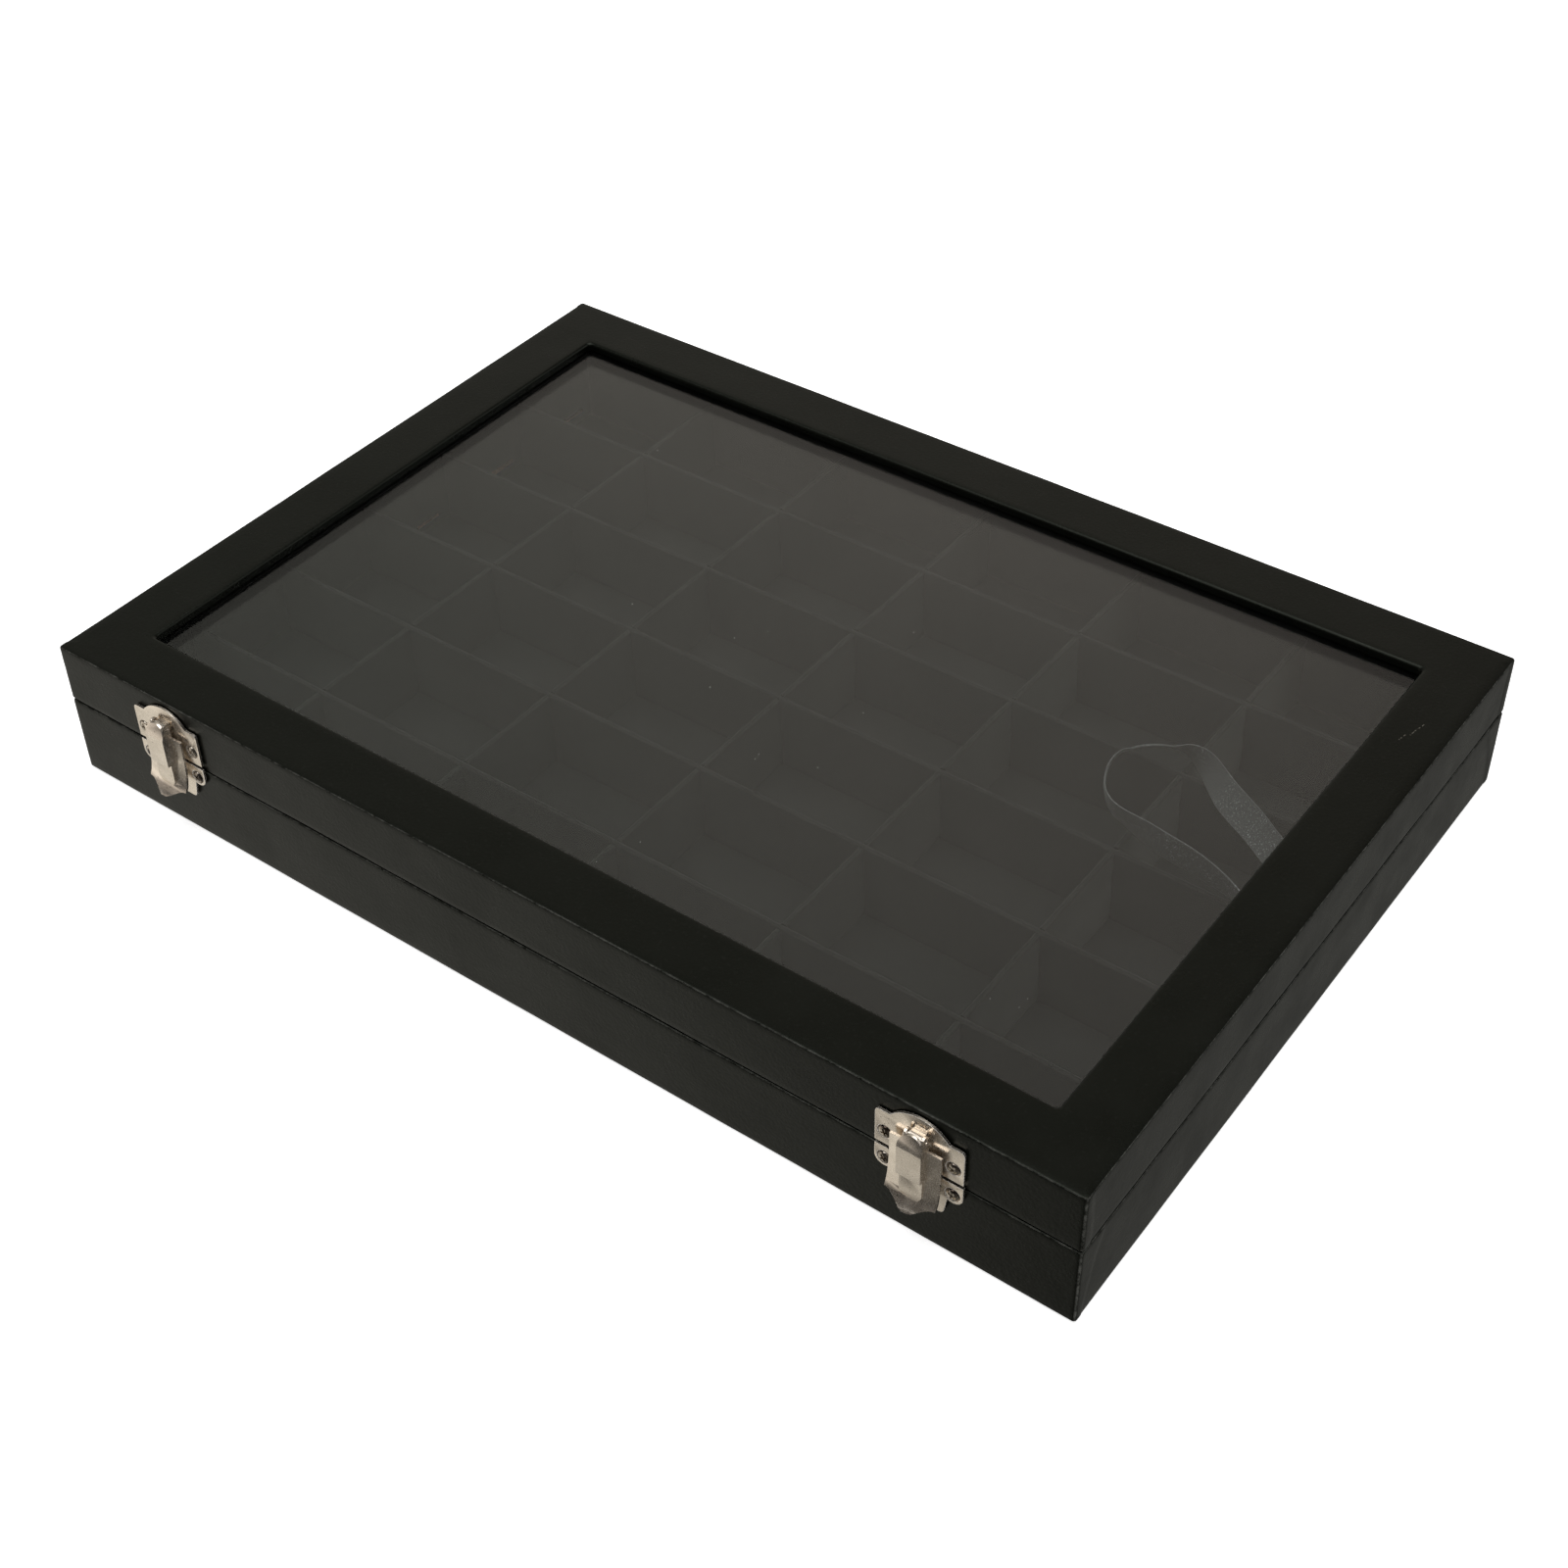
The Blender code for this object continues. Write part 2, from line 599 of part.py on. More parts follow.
def make_clasp(side, x, hinge, base_parts, lid_parts):
    rim = Vector((x, -HALF_Y, RIM))
    base = empty(f"clasp_{side}_base", rim)
    lid = empty(f"clasp_{side}_lid", rim - hinge.location, hinge)
    pin = (0, -PIN_D, PIN_Z)

    screws = [(sx * UPPER_SCREW_X, UPPER_SCREW_Z) for sx in (-1, 1)]
    name = f"clasp_{side}_upper_plate"
    upper = make_plate(name, upper_plate_outline(), screws, lid, pin)
    lug = arc((PIN_D, PIN_Z), LUG_RADIUS, -90, 155, 12)
    root = PLATE_FRONT - PLATE / 2
    lug += [(root, lug[-1][1]), (root, PIN_Z - LUG_RADIUS)]
    bm = prism(lug, in_side_view, -LUG_HALF, LUG_HALF)
    combine(upper, add(f"{name}_lug", bm, None, lid, pin, True), "UNION")
    bore = PIN_RADIUS + PIN_CLEARANCE
    bm = turned([(bore, -NOSE_HALF), (bore, NOSE_HALF)], cross_axis(PIN_D, PIN_Z))
    combine(upper, add(f"{name}_bore", bm, None, lid, pin, True), "DIFFERENCE")
    for i, (sx, sz) in enumerate(screws):
        make_screw(f"clasp_{side}_upper_screw_{i + 1}", sx, sz, 20 + 40 * i, lid, pin)
        drill(lid_parts, f"{side}_screw_{i + 1}", sx, sz, lid)

    screws = [(sx * LOWER_SCREW_X, LOWER_SCREW_Z) for sx in (-1, 1)]
    name = f"clasp_{side}_lower_plate"
    lower = make_plate(name, lower_plate_outline(), screws, base, (0, 0, 0))
    front, root = -PLATE_FRONT - CATCH_PROUD, -PLATE_FRONT + PLATE / 2
    bm = box((-CATCH_HALF, front, CATCH_LOW), (CATCH_HALF, root, CATCH_HIGH))
    combine(lower, add(f"{name}_catch", bm, None, base, (0, 0, 0), True), "UNION")
    for i, (sx, sz) in enumerate(screws):
        make_screw(f"clasp_{side}_lower_screw_{i + 1}", sx, sz, 35 + 30 * i, base, (0, 0, 0))
        drill(base_parts, f"{side}_screw_{i + 1}", sx, sz, base)

    make_flap(f"clasp_{side}_flap", lid, pin)
    name, reach = f"clasp_{side}_pin", nose_half_at_pin() - 0.1 * MM
    place = cross_axis(PIN_D, PIN_Z)
    smooth(rod(name, PIN_RADIUS, place, -reach, reach, "nickel", parent=lid, origin=pin))


def back_axis(u, v, height):
    return (height, HINGE_Y + u, HINGE_Z + v)


def make_leaf(name, sign, knuckles, rivals, parent, origin):
    """One hinge leaf: sign is 1 for the lid's and -1 for the base's. Its nails' heads are in one with it."""
    near, far = HINGE_Z + sign * GAP / 2, HINGE_Z + sign * LEAF_HEIGHT
    low, high = sorted((near, far))
    half = HINGE_WIDTH / 2
    back = HALF_Y + GAP
    outline = [(-half, near), (half, near), (half, far), (-half, far)]
    bm = prism(rounded(outline, (2, 3), 1.5 * MM), lambda u, v, w: (u, w, v), back, back + LEAF)
    leaf = add(name, bm, "nickel", parent, origin)
    for i, (start, end) in enumerate(rivals):
        radius = BARREL_RADIUS + GAP
        bm = turned([(radius, start - GAP), (radius, end + GAP)], back_axis)
        combine(leaf, add(f"{name}_room_{i + 1}", bm, None, parent, origin, True), "DIFFERENCE")
    for i, (start, end) in enumerate(knuckles):
        bm = turned([(BARREL_RADIUS, start), (BARREL_RADIUS, end)], back_axis)
        combine(leaf, add(f"{name}_knuckle_{i + 1}", bm, None, parent, origin, True), "UNION")
    bore = HINGE_PIN_RADIUS + PIN_CLEARANCE
    bm = turned([(bore, -half - 1 * MM), (bore, half + 1 * MM)], back_axis)
    combine(leaf, add(f"{name}_bore", bm, None, parent, origin, True), "DIFFERENCE")
    for i, x in enumerate((-NAIL_X, NAIL_X)):
        z = HINGE_Z + sign * NAIL_HEIGHT
        dome = [(NAIL_HEAD, LEAF * 1.15), (NAIL_HEAD * 0.75, LEAF * 1.55), (0, LEAF * 1.75)]
        profile = [(0, LEAF * 0.5), (NAIL_HEAD, LEAF * 0.5)] + dome
        bm = turned(profile, lambda u, v, h: (x + u, back + h, z + v), 16)
        combine(leaf, add(f"{name}_nail_{i + 1}", bm, None, parent, origin, True), "UNION")
    return leaf


def make_hinge(side, x, hinge):
    base = empty(f"hinge_{side}_base", (x, 0, 0))
    lid = empty(f"hinge_{side}_lid", Vector((x, 0, 0)) - hinge.location, hinge)
    axis = (0, HINGE_Y, HINGE_Z)
    half, third = HINGE_WIDTH / 2, HINGE_WIDTH / 6
    outer = [(-half, -third - GAP / 2), (third + GAP / 2, half)]
    middle = [(-third + GAP / 2, third - GAP / 2)]
    make_leaf(f"hinge_{side}_base_leaf", -1, outer, middle, base, axis)
    make_leaf(f"hinge_{side}_lid_leaf", 1, middle, outer, lid, axis)
    name = f"hinge_{side}_pin"
    smooth(rod(name, HINGE_PIN_RADIUS, back_axis, -half, half, "nickel", parent=base, origin=axis))


def make_ribbon(hinge):
    """The ribbon that stops the lid, lying on edge in a leaning loop above the dividers."""
    wall = HALF_X - LINING_OUT - STRIP - GAP
    lid_end = (wall, RIBBON_LID_Y)
    base_end = (wall, RIBBON_BASE_Y)
    centre = (RIBBON_LOOP_X, RIBBON_LOOP_Y)

    def strip(offset):
        out = arc(centre, RIBBON_LOOP + offset, 60, 280, 14)
        return [(wall, lid_end[1] + offset)] + out + [(wall, base_end[1] - offset)]

    outline = strip(0) + strip(-RIBBON_SHEET)[::-1]
    bm = prism(outline, lambda u, v, w: (u, v, w), RIBBON_Z, RIBBON_Z + RIBBON_WIDTH)
    ribbon = add("lid_stay_ribbon", bm, "ribbon")
    carry(ribbon, hinge)


def main():
    clear_scene()
    hinge = empty("lid_hinge_axis", (0, HINGE_Y, HINGE_Z))
    base_walls, base_wrap = make_base()
    make_dividers()
    lid_walls, lid_wrap = make_lid(hinge)
    skin_hole, board_hole = HEAD_RADIUS - 0.5 * MM, SHANK_RADIUS + GAP
    base_parts = [(base_wrap, skin_hole), (base_walls["front"], board_hole)]
    lid_parts = [(lid_wrap, skin_hole), (lid_walls["front"], board_hole)]
    for side, sign in (("left", -1), ("right", 1)):
        make_clasp(side, sign * CLASP_X, hinge, base_parts, lid_parts)
        make_hinge(side, sign * HINGE_X, hinge)
    make_ribbon(hinge)


main()
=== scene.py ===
"""The looks of the glass-lidded display case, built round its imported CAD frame. Lengths are in metres."""

import math

import bmesh
import bpy
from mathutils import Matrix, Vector, noise


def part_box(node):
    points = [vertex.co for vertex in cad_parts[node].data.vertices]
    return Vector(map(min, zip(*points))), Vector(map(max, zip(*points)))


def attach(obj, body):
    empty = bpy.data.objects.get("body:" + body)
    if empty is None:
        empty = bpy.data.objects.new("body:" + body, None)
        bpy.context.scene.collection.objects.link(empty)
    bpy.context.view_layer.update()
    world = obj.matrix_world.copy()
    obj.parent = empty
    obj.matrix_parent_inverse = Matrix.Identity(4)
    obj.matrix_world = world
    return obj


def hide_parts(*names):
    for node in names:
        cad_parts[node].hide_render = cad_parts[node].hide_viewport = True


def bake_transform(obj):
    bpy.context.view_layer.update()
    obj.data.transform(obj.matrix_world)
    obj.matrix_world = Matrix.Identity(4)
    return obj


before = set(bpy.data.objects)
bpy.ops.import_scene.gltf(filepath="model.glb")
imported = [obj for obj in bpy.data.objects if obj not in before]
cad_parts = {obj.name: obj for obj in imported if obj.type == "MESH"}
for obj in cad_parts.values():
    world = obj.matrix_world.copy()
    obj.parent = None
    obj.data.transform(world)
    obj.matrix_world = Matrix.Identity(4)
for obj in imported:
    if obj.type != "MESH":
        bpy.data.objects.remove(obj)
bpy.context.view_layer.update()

MM = 0.001

# Places taken from the frame, whose origin is at the middle of the case's underside
BASE_LOW, BASE_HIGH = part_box("base_leatherette")
LID_LOW, LID_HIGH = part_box("lid_leatherette")
PANE_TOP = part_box("glass_pane")[1].z
HALF_X = BASE_HIGH.x
HALF_Y = BASE_HIGH.y
RIM = BASE_HIGH.z
LID_BOTTOM = LID_LOW.z
LID_TOP = LID_HIGH.z

# The coverings: their thickness, the lid's border round the window, how far they reach in at the seam and
# under the base, and the gap that they leave above the pane
COVER = 0.6 * MM
BORDER = 20 * MM
WALL_INSET = 4.5 * MM
UNDERSIDE_REACH = 4 * MM
PANE_GAP = 0.3 * MM
# Corner radii as seen from above, and radii of the edges as seen from the side
CORNER_RADIUS = 1.1 * MM
INNER_CORNER = 0.4 * MM
WINDOW_CORNER = 1.5 * MM
EDGE_RADIUS = 0.7 * MM
WINDOW_RADIUS = 1.3 * MM
# The cloth's unevenness, its lap at the corners, and how near the outside a point is part of a side wall
SWELL = 0.16 * MM
SWELL_SIZE = 24 * MM
RIPPLE = 0.05 * MM
RIPPLE_SIZE = 5 * MM
LAP = 0.16 * MM
SIDE_ZONE = 1.0 * MM
# The lap's reach in from the corner at the bottom and at the top of a side wall
BASE_TUCK = (3 * MM, 11 * MM)
LID_TUCK = (4 * MM, 3 * MM)

# Scratches on the lid's top: middle, turn in degrees and length
SCRATCHES = [
    ((0.1655, 0.0745, LID_TOP), 78, 7 * MM),
    ((0.1635, 0.0690, LID_TOP), 80, 3 * MM),
]


# Materials


def node(tree, kind, inputs=None, **settings):
    """Adds a node. inputs maps a socket's name or number to a value or to another node's output."""
    made = tree.nodes.new(kind)
    for key, value in settings.items():
        setattr(made, key, value)
    for key, value in (inputs or {}).items():
        if isinstance(value, bpy.types.NodeSocket):
            tree.links.new(value, made.inputs[key])
        else:
            made.inputs[key].default_value = value
    return made


def math_node(tree, operation, first, second=0.0, clamp=False):
    inputs = {0: first, 1: second}
    return node(tree, "ShaderNodeMath", inputs, operation=operation, use_clamp=clamp).outputs[0]


def ranged(tree, value, low, high, to_low=0.0, to_high=1.0):
    """Carries low to high smoothly over to to_low to to_high, and holds the ends beyond."""
    inputs = {"Value": value, "From Min": low, "From Max": high, "To Min": to_low, "To Max": to_high}
    return node(tree, "ShaderNodeMapRange", inputs, interpolation_type="SMOOTHSTEP").outputs["Result"]


def mixed(tree, factor, first, second):
    """Mixes two colours. The sockets go by number, because a Mix node repeats its names for each type."""
    made = tree.nodes.new("ShaderNodeMix")
    made.data_type = "RGBA"
    for socket, value in ((made.inputs[0], factor), (made.inputs[6], first), (made.inputs[7], second)):
        if isinstance(value, bpy.types.NodeSocket):
            tree.links.new(value, socket)
        else:
            socket.default_value = value
    return made.outputs[2]


def new_material(name, **values):
    """A Principled material, its tree, its shader and its coordinates in metres."""
    made = bpy.data.materials.new(name)
    made.use_nodes = True
    tree = made.node_tree
    shader = tree.nodes["Principled BSDF"]
    for socket, value in values.items():
        shader.inputs[socket.replace("_", " ")].default_value = value
    place = node(tree, "ShaderNodeTexCoord").outputs["Object"]
    return made, tree, shader, place


def noise_at(tree, place, scale, detail=3.0, roughness=0.5, stretch=None):
    if stretch:
        place = node(tree, "ShaderNodeMapping", {"Vector": place, "Scale": stretch}).outputs[0]
    inputs = {"Vector": place, "Scale": scale, "Detail": detail, "Roughness": roughness}
    return node(tree, "ShaderNodeTexNoise", inputs).outputs["Fac"]


def specks_at(tree, place, scale, size, share):
    """1 inside small scattered dots, of which only the given share of cells has one."""
    cells = node(tree, "ShaderNodeTexVoronoi", {"Vector": place, "Scale": scale})
    inside = math_node(tree, "LESS_THAN", cells.outputs["Distance"], size)
    chance = node(tree, "ShaderNodeSeparateColor", {0: cells.outputs["Color"]}).outputs[0]
    return math_node(tree, "MULTIPLY", inside, math_node(tree, "LESS_THAN", chance, share))


def scratch_at(tree, place, centre, turn, length):
    """1 along a short broken scratch on the lid's top, turned by that many degrees from +X."""
    inputs = {"Vector": place, "Location": centre, "Rotation": (0, 0, math.radians(turn))}
    local = node(tree, "ShaderNodeMapping", inputs, vector_type="TEXTURE").outputs[0]
    along, side, _ = node(tree, "ShaderNodeSeparateXYZ", {0: local}).outputs
    most_wander = 0.5 * MM
    half_width = 0.11 * MM
    wander = math_node(tree, "MULTIPLY", noise_at(tree, place, 500, 2), most_wander)
    within = math_node(tree, "LESS_THAN", math_node(tree, "ABSOLUTE", along), length / 2)
    side = math_node(tree, "ABSOLUTE", math_node(tree, "SUBTRACT", side, wander))
    thin = math_node(tree, "MULTIPLY", within, math_node(tree, "LESS_THAN", side, half_width))
    broken = math_node(tree, "GREATER_THAN", noise_at(tree, place, 900, 2), 0.47)
    return math_node(tree, "MULTIPLY", thin, broken)


def bumped(tree, shader, layers):
    """Chains bump layers of (height, distance in metres, strength) into the shader's normal."""
    normal = None
    for height, distance, strength in layers:
        inputs = {"Height": height, "Distance": distance, "Strength": strength}
        if normal:
            inputs["Normal"] = normal
        normal = node(tree, "ShaderNodeBump", inputs).outputs["Normal"]
    tree.links.new(normal, shader.inputs["Normal"])


def leatherette():
    """Black grained cloth. Where the attribute "edge" marks an edge it is paler in broken patches: partly
    rubbed wear, partly a painted highlight.
    """
    deep = (0.0019, 0.0023, 0.0015, 1)
    black = (0.0034, 0.0038, 0.0028, 1)
    fleck = (0.0060, 0.0064, 0.0054, 1)
    worn_and_highlight = (0.085, 0.085, 0.077, 1)
    scratched = (0.13, 0.12, 0.10, 1)
    dusty = (0.16, 0.16, 0.15, 1)
    made, tree, shader, place = new_material("leatherette", Specular_IOR_Level=0.18, IOR=1.46)
    shader.inputs["Specular Tint"].default_value = (0.92, 1.0, 0.84, 1)
    patches = noise_at(tree, place, 26, 4)
    fine = noise_at(tree, place, 900, 2)
    color = mixed(tree, ranged(tree, patches, 0.3, 0.7), deep, black)
    color = mixed(tree, ranged(tree, fine, 0.55, 0.8), color, fleck)
    edge = node(tree, "ShaderNodeAttribute", attribute_name="edge").outputs["Fac"]
    rubbed_and_highlight = ranged(tree, noise_at(tree, place, 480, 4, 0.7), 0.30, 0.75)
    # Broken pale patches on the edges: partly rubbed wear, partly a painted highlight
    color = mixed(tree, math_node(tree, "MULTIPLY", edge, rubbed_and_highlight), color, worn_and_highlight)
    for centre, turn, length in SCRATCHES:
        color = mixed(tree, scratch_at(tree, place, centre, turn, length), color, scratched)
    lint = specks_at(tree, place, 55, 0.012, 0.16)
    color = mixed(tree, lint, color, dusty)
    tree.links.new(color, shader.inputs["Base Color"])
    rough = ranged(tree, noise_at(tree, place, 70, 5, 0.6), 0.25, 0.75, 0.25, 0.34)
    tree.links.new(rough, shader.inputs["Roughness"])
    grain = node(tree, "ShaderNodeTexVoronoi", {"Vector": place, "Scale": 1100}, feature="SMOOTH_F1")
    bumped(
        tree,
        shader,
        [
            (noise_at(tree, place, 34, 2), 0.5 * MM, 0.35),
            (grain.outputs["Distance"], 0.05 * MM, 0.55),
            (noise_at(tree, place, 2600, 2), 0.012 * MM, 0.5),
        ],
    )
    return made


def velvet():
    """Black brushed pile with pale lint."""
    black = (0.0085, 0.0087, 0.0083, 1)
    brushed_light = (0.0165, 0.0163, 0.0155, 1)
    tips = (0.0185, 0.0185, 0.0175, 1)
    made, tree, shader, place = new_material(
        "velvet", Roughness=0.96, Specular_IOR_Level=0.12, Sheen_Weight=0.5, Sheen_Roughness=0.35
    )
    shader.inputs["Sheen Tint"].default_value = (0.62, 0.6, 0.57, 1)
    brushed = noise_at(tree, place, 45, 3, 0.5)
    pile = noise_at(tree, place, 1900, 2)
    color = mixed(tree, ranged(tree, brushed, 0.3, 0.7), black, brushed_light)
    color = mixed(tree, ranged(tree, pile, 0.4, 0.7), color, tips)
    lint = specks_at(tree, place, 150, 0.03, 0.16)
    color = mixed(tree, lint, color, (0.75, 0.73, 0.69, 1))
    tree.links.new(color, shader.inputs["Base Color"])
    bumped(tree, shader, [(brushed, 0.3 * MM, 0.15), (pile, 0.03 * MM, 0.2)])
    return made


def fibreboard():
    """The dark brown card of the walls, the lid's borders and the bottom."""
    brown = (0.030, 0.021, 0.015, 1)
    pale_brown = (0.062, 0.045, 0.031, 1)
    blotch = (0.018, 0.012, 0.008, 1)
    made, tree, shader, place = new_material("fibreboard", Specular_IOR_Level=0.25)
    fibres = noise_at(tree, place, 420, 5, 0.7, (1, 1, 3))
    blotches = noise_at(tree, place, 60, 3)
    color = mixed(tree, ranged(tree, fibres, 0.3, 0.7), brown, pale_brown)
    color = mixed(tree, ranged(tree, blotches, 0.4, 0.8, 0, 0.4), color, blotch)
    tree.links.new(color, shader.inputs["Base Color"])
    tree.links.new(ranged(tree, fibres, 0.3, 0.7, 0.75, 0.92), shader.inputs["Roughness"])
    bumped(tree, shader, [(fibres, 0.2 * MM, 0.6)])
    return made


def reddish_streak():
    """Reddish fibrous stuff for the thin slivers at the foot of the left lining."""
    made, tree, shader, place = new_material("reddish_streak", Specular_IOR_Level=0.2)
    fibres = noise_at(tree, place, 900, 4)
    color = mixed(tree, ranged(tree, fibres, 0.35, 0.65), (0.44, 0.19, 0.10, 1), (0.66, 0.34, 0.20, 1))
    tree.links.new(color, shader.inputs["Base Color"])
    tree.links.new(ranged(tree, fibres, 0.3, 0.7, 0.7, 0.9), shader.inputs["Roughness"])
    bumped(tree, shader, [(fibres, 0.08 * MM, 0.6)])
    return made


def nickel(name, dark, light, rough, metallic=1.0):
    """Nickel plating, clouded from dark to light, with pits and fine scratches."""
    made, tree, shader, place = new_material(name, Metallic=metallic)
    cloud = noise_at(tree, place, 260, 4, 0.6)
    scratch = noise_at(tree, place, 1500, 3, 0.6, (4, 4, 0.25))
    pits = specks_at(tree, place, 900, 0.16, 0.12)
    color = mixed(tree, ranged(tree, cloud, 0.35, 0.65), dark, light)
    color = mixed(tree, pits, color, (0.26, 0.22, 0.18, 1))
    tree.links.new(color, shader.inputs["Base Color"])
    clouded = ranged(tree, cloud, 0.3, 0.7, rough, rough + 0.09)
    scratched = ranged(tree, scratch, 0.5, 0.8, 0.0, 0.14)
    tree.links.new(math_node(tree, "ADD", clouded, scratched), shader.inputs["Roughness"])
    bumped(tree, shader, [(cloud, 0.05 * MM, 0.25), (scratch, 0.006 * MM, 0.5)])
    return made


def ribbon_satin():
    """Sheer black satin: threads and gathered glints, and some of the light straight through."""
    cover = 0.78
    made, tree, shader, place = new_material(
        "ribbon_satin", Specular_IOR_Level=0.3, Sheen_Weight=0.3, Sheen_Roughness=0.4
    )
    shader.inputs["Sheen Tint"].default_value = (0.8, 0.8, 0.8, 1)
    flat = node(tree, "ShaderNodeUVMap", uv_map="cloth").outputs[0]
    threads = node(
        tree,
        "ShaderNodeTexWave",
        {"Vector": flat, "Scale": 1500, "Distortion": 0.6, "Detail": 1.0},
        bands_direction="X",
    ).outputs["Fac"]
    weft = node(
        tree,
        "ShaderNodeTexWave",
        {"Vector": flat, "Scale": 900, "Distortion": 0.5, "Detail": 1.0},
        bands_direction="Y",
    ).outputs["Fac"]
    sparkle = noise_at(tree, place, 2300, 2, 0.7)
    color = mixed(tree, threads, (0.095, 0.095, 0.095, 1), (0.17, 0.17, 0.17, 1))
    gathered = ranged(tree, noise_at(tree, place, 75, 2), 0.40, 0.62, 0.25, 1.0)
    glints = math_node(tree, "MULTIPLY", ranged(tree, sparkle, 0.57, 0.69), gathered)
    color = mixed(tree, glints, color, (0.62, 0.62, 0.64, 1))
    tree.links.new(color, shader.inputs["Base Color"])
    tree.links.new(ranged(tree, sparkle, 0.3, 0.7, 0.36, 0.55), shader.inputs["Roughness"])
    bumped(tree, shader, [(threads, 0.04 * MM, 0.4), (weft, 0.03 * MM, 0.3)])
    clear = node(tree, "ShaderNodeBsdfTransparent")
    mix = node(tree, "ShaderNodeMixShader", {0: cover, 1: clear.outputs[0], 2: shader.outputs[0]})
    tree.links.new(mix.outputs[0], tree.nodes["Material Output"].inputs["Surface"])
    return made


def glass():
    """Clear glass: what isn't mirrored at its two faces passes straight through."""
    glass_index = 1.5
    made, tree, shader, place = new_material("glass", Metallic=1.0)
    smears = noise_at(tree, place, 9, 4, 0.6)
    dust = specks_at(tree, place, 75, 0.016, 0.22)
    color = mixed(tree, ranged(tree, smears, 0.3, 0.7), (0.86, 0.87, 0.86, 1), (0.95, 0.95, 0.94, 1))
    tree.links.new(color, shader.inputs["Base Color"])
    rough = ranged(tree, smears, 0.35, 0.75, 0.12, 0.18)
    rough = math_node(tree, "ADD", rough, math_node(tree, "MULTIPLY", dust, 0.6))
    tree.links.new(rough, shader.inputs["Roughness"])
    behind = node(tree, "ShaderNodeNewGeometry").outputs["Backfacing"]
    index = ranged(tree, behind, 0.0, 1.0, glass_index, 1 / glass_index)
    mirrored = node(tree, "ShaderNodeFresnel", {"IOR": index}).outputs[0]
    share = math_node(tree, "ADD", mirrored, math_node(tree, "MULTIPLY", dust, 0.18), clamp=True)
    clear = node(tree, "ShaderNodeBsdfTransparent", {"Color": (0.93, 0.95, 0.94, 1)})
    mix = node(tree, "ShaderNodeMixShader", {0: share, 1: clear.outputs[0], 2: shader.outputs[0]})
    tree.links.new(mix.outputs[0], tree.nodes["Material Output"].inputs["Surface"])
    return made


LEATHERETTE = leatherette()
VELVET = velvet()
BOARD = fibreboard()
REDDISH_STREAK = reddish_streak()
NICKEL = nickel("nickel", (0.78, 0.70, 0.60, 1), (0.93, 0.84, 0.73, 1), rough=0.20, metallic=0.95)
# Pale, nearly non-metallic nickel for the rounded edge strips: a painted highlight
PAINTED_EDGE_HIGHLIGHT = nickel("painted_edge_highlight", (0.68, 0.65, 0.61, 1), (0.82, 0.79, 0.75, 1), rough=0.30, metallic=0.2)
SCREW_NICKEL = nickel("screw_nickel", (0.10, 0.075, 0.06, 1), (0.60, 0.54, 0.46, 1), rough=0.08)
SATIN = ribbon_satin()
GLASS = glass()


# Shapes


def finish_piece(name, bm, material, body, smooth_angle=40, replaces=()):
    """The finished mesh as an object, on its body if one is given. Edges beyond the angle stay sharp."""
    bmesh.ops.recalc_face_normals(bm, faces=bm.faces)
    mesh = bpy.data.meshes.new(name)
    bm.to_mesh(mesh)
    bm.free()
    mesh.materials.append(material)
    mesh.shade_smooth()
    mesh.set_sharp_from_angle(angle=math.radians(smooth_angle))
    obj = bpy.data.objects.new(name, mesh)
    bpy.context.scene.collection.objects.link(obj)
    if body:
        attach(obj, body)
    if replaces:
        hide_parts(*replaces)
    return obj


def arc(centre, radius, start, end, steps):
    """Points of an arc, from start to end in degrees."""
    points = []
    for i in range(steps + 1):
        angle = math.radians(start + (end - start) * i / steps)
        points.append((centre[0] + radius * math.cos(angle), centre[1] + radius * math.sin(angle)))
    return points


def run(start, end, step):
    """Points from start to end, both included, about step apart."""
    start, end = Vector(start), Vector(end)
    count = max(1, round((end - start).length / step))
    return [tuple(start.lerp(end, i / count)) for i in range(count + 1)]


def joined(*lines):
    """The lines one after another, without points that repeat."""
    same = 0.01 * MM
    points = []
    for line in lines:
        for point in line:
            if not points or (Vector(point) - Vector(points[-1])).length > same:
                points.append(point)
    return points


def spread(length, fine, fine_reach, coarse):
    """Shares of a length: fine apart within fine_reach of both ends, and about coarse apart between."""
    near = [fine * i for i in range(1, round(fine_reach / fine) + 1)]
    middle = length - 2 * near[-1]
    count = round(middle / coarse)
    between = [near[-1] + middle * i / count for i in range(1, count)]
    places = near + between + [length - place for place in reversed(near)]
    return [place / length for place in places]


# Points along the case's sides, close together where the cloth laps round a corner
NEAR_STEP = 0.8 * MM
NEAR_REACH = 14 * MM
FAR_STEP = 4 * MM
LONG_SHARES = spread(2 * HALF_X, NEAR_STEP, NEAR_REACH, FAR_STEP)
SHORT_SHARES = spread(2 * HALF_Y, NEAR_STEP, NEAR_REACH, FAR_STEP)


def case_loop(inset, radius, steps=5):
    """Points round the case at the given inset: corner arcs, and as many points between them at any inset."""
    points = []
    corners = [(1, 1), (-1, 1), (-1, -1), (1, -1)]
    arcs = []
    for quarter, (sx, sy) in enumerate(corners):
        centre = (sx * (HALF_X - inset - radius), sy * (HALF_Y - inset - radius))
        arcs.append(arc(centre, radius, 90 * quarter, 90 * quarter + 90, steps))
    for i, corner in enumerate(arcs):
        points += corner
        start, end = Vector(corner[-1]), Vector(arcs[(i + 1) % 4][0])
        shares = LONG_SHARES if i % 2 == 0 else SHORT_SHARES
        points += [tuple(start.lerp(end, share)) for share in shares]
    return points


def waves(point, size, seed):
    """Smooth noise from 0 to 1, with bumps of about the given size."""
    place = Vector(point) / size + Vector((seed, 7.3 * seed, 0))
    return 0.5 + 0.5 * max(-1.0, min(1.0, noise.noise(place)))


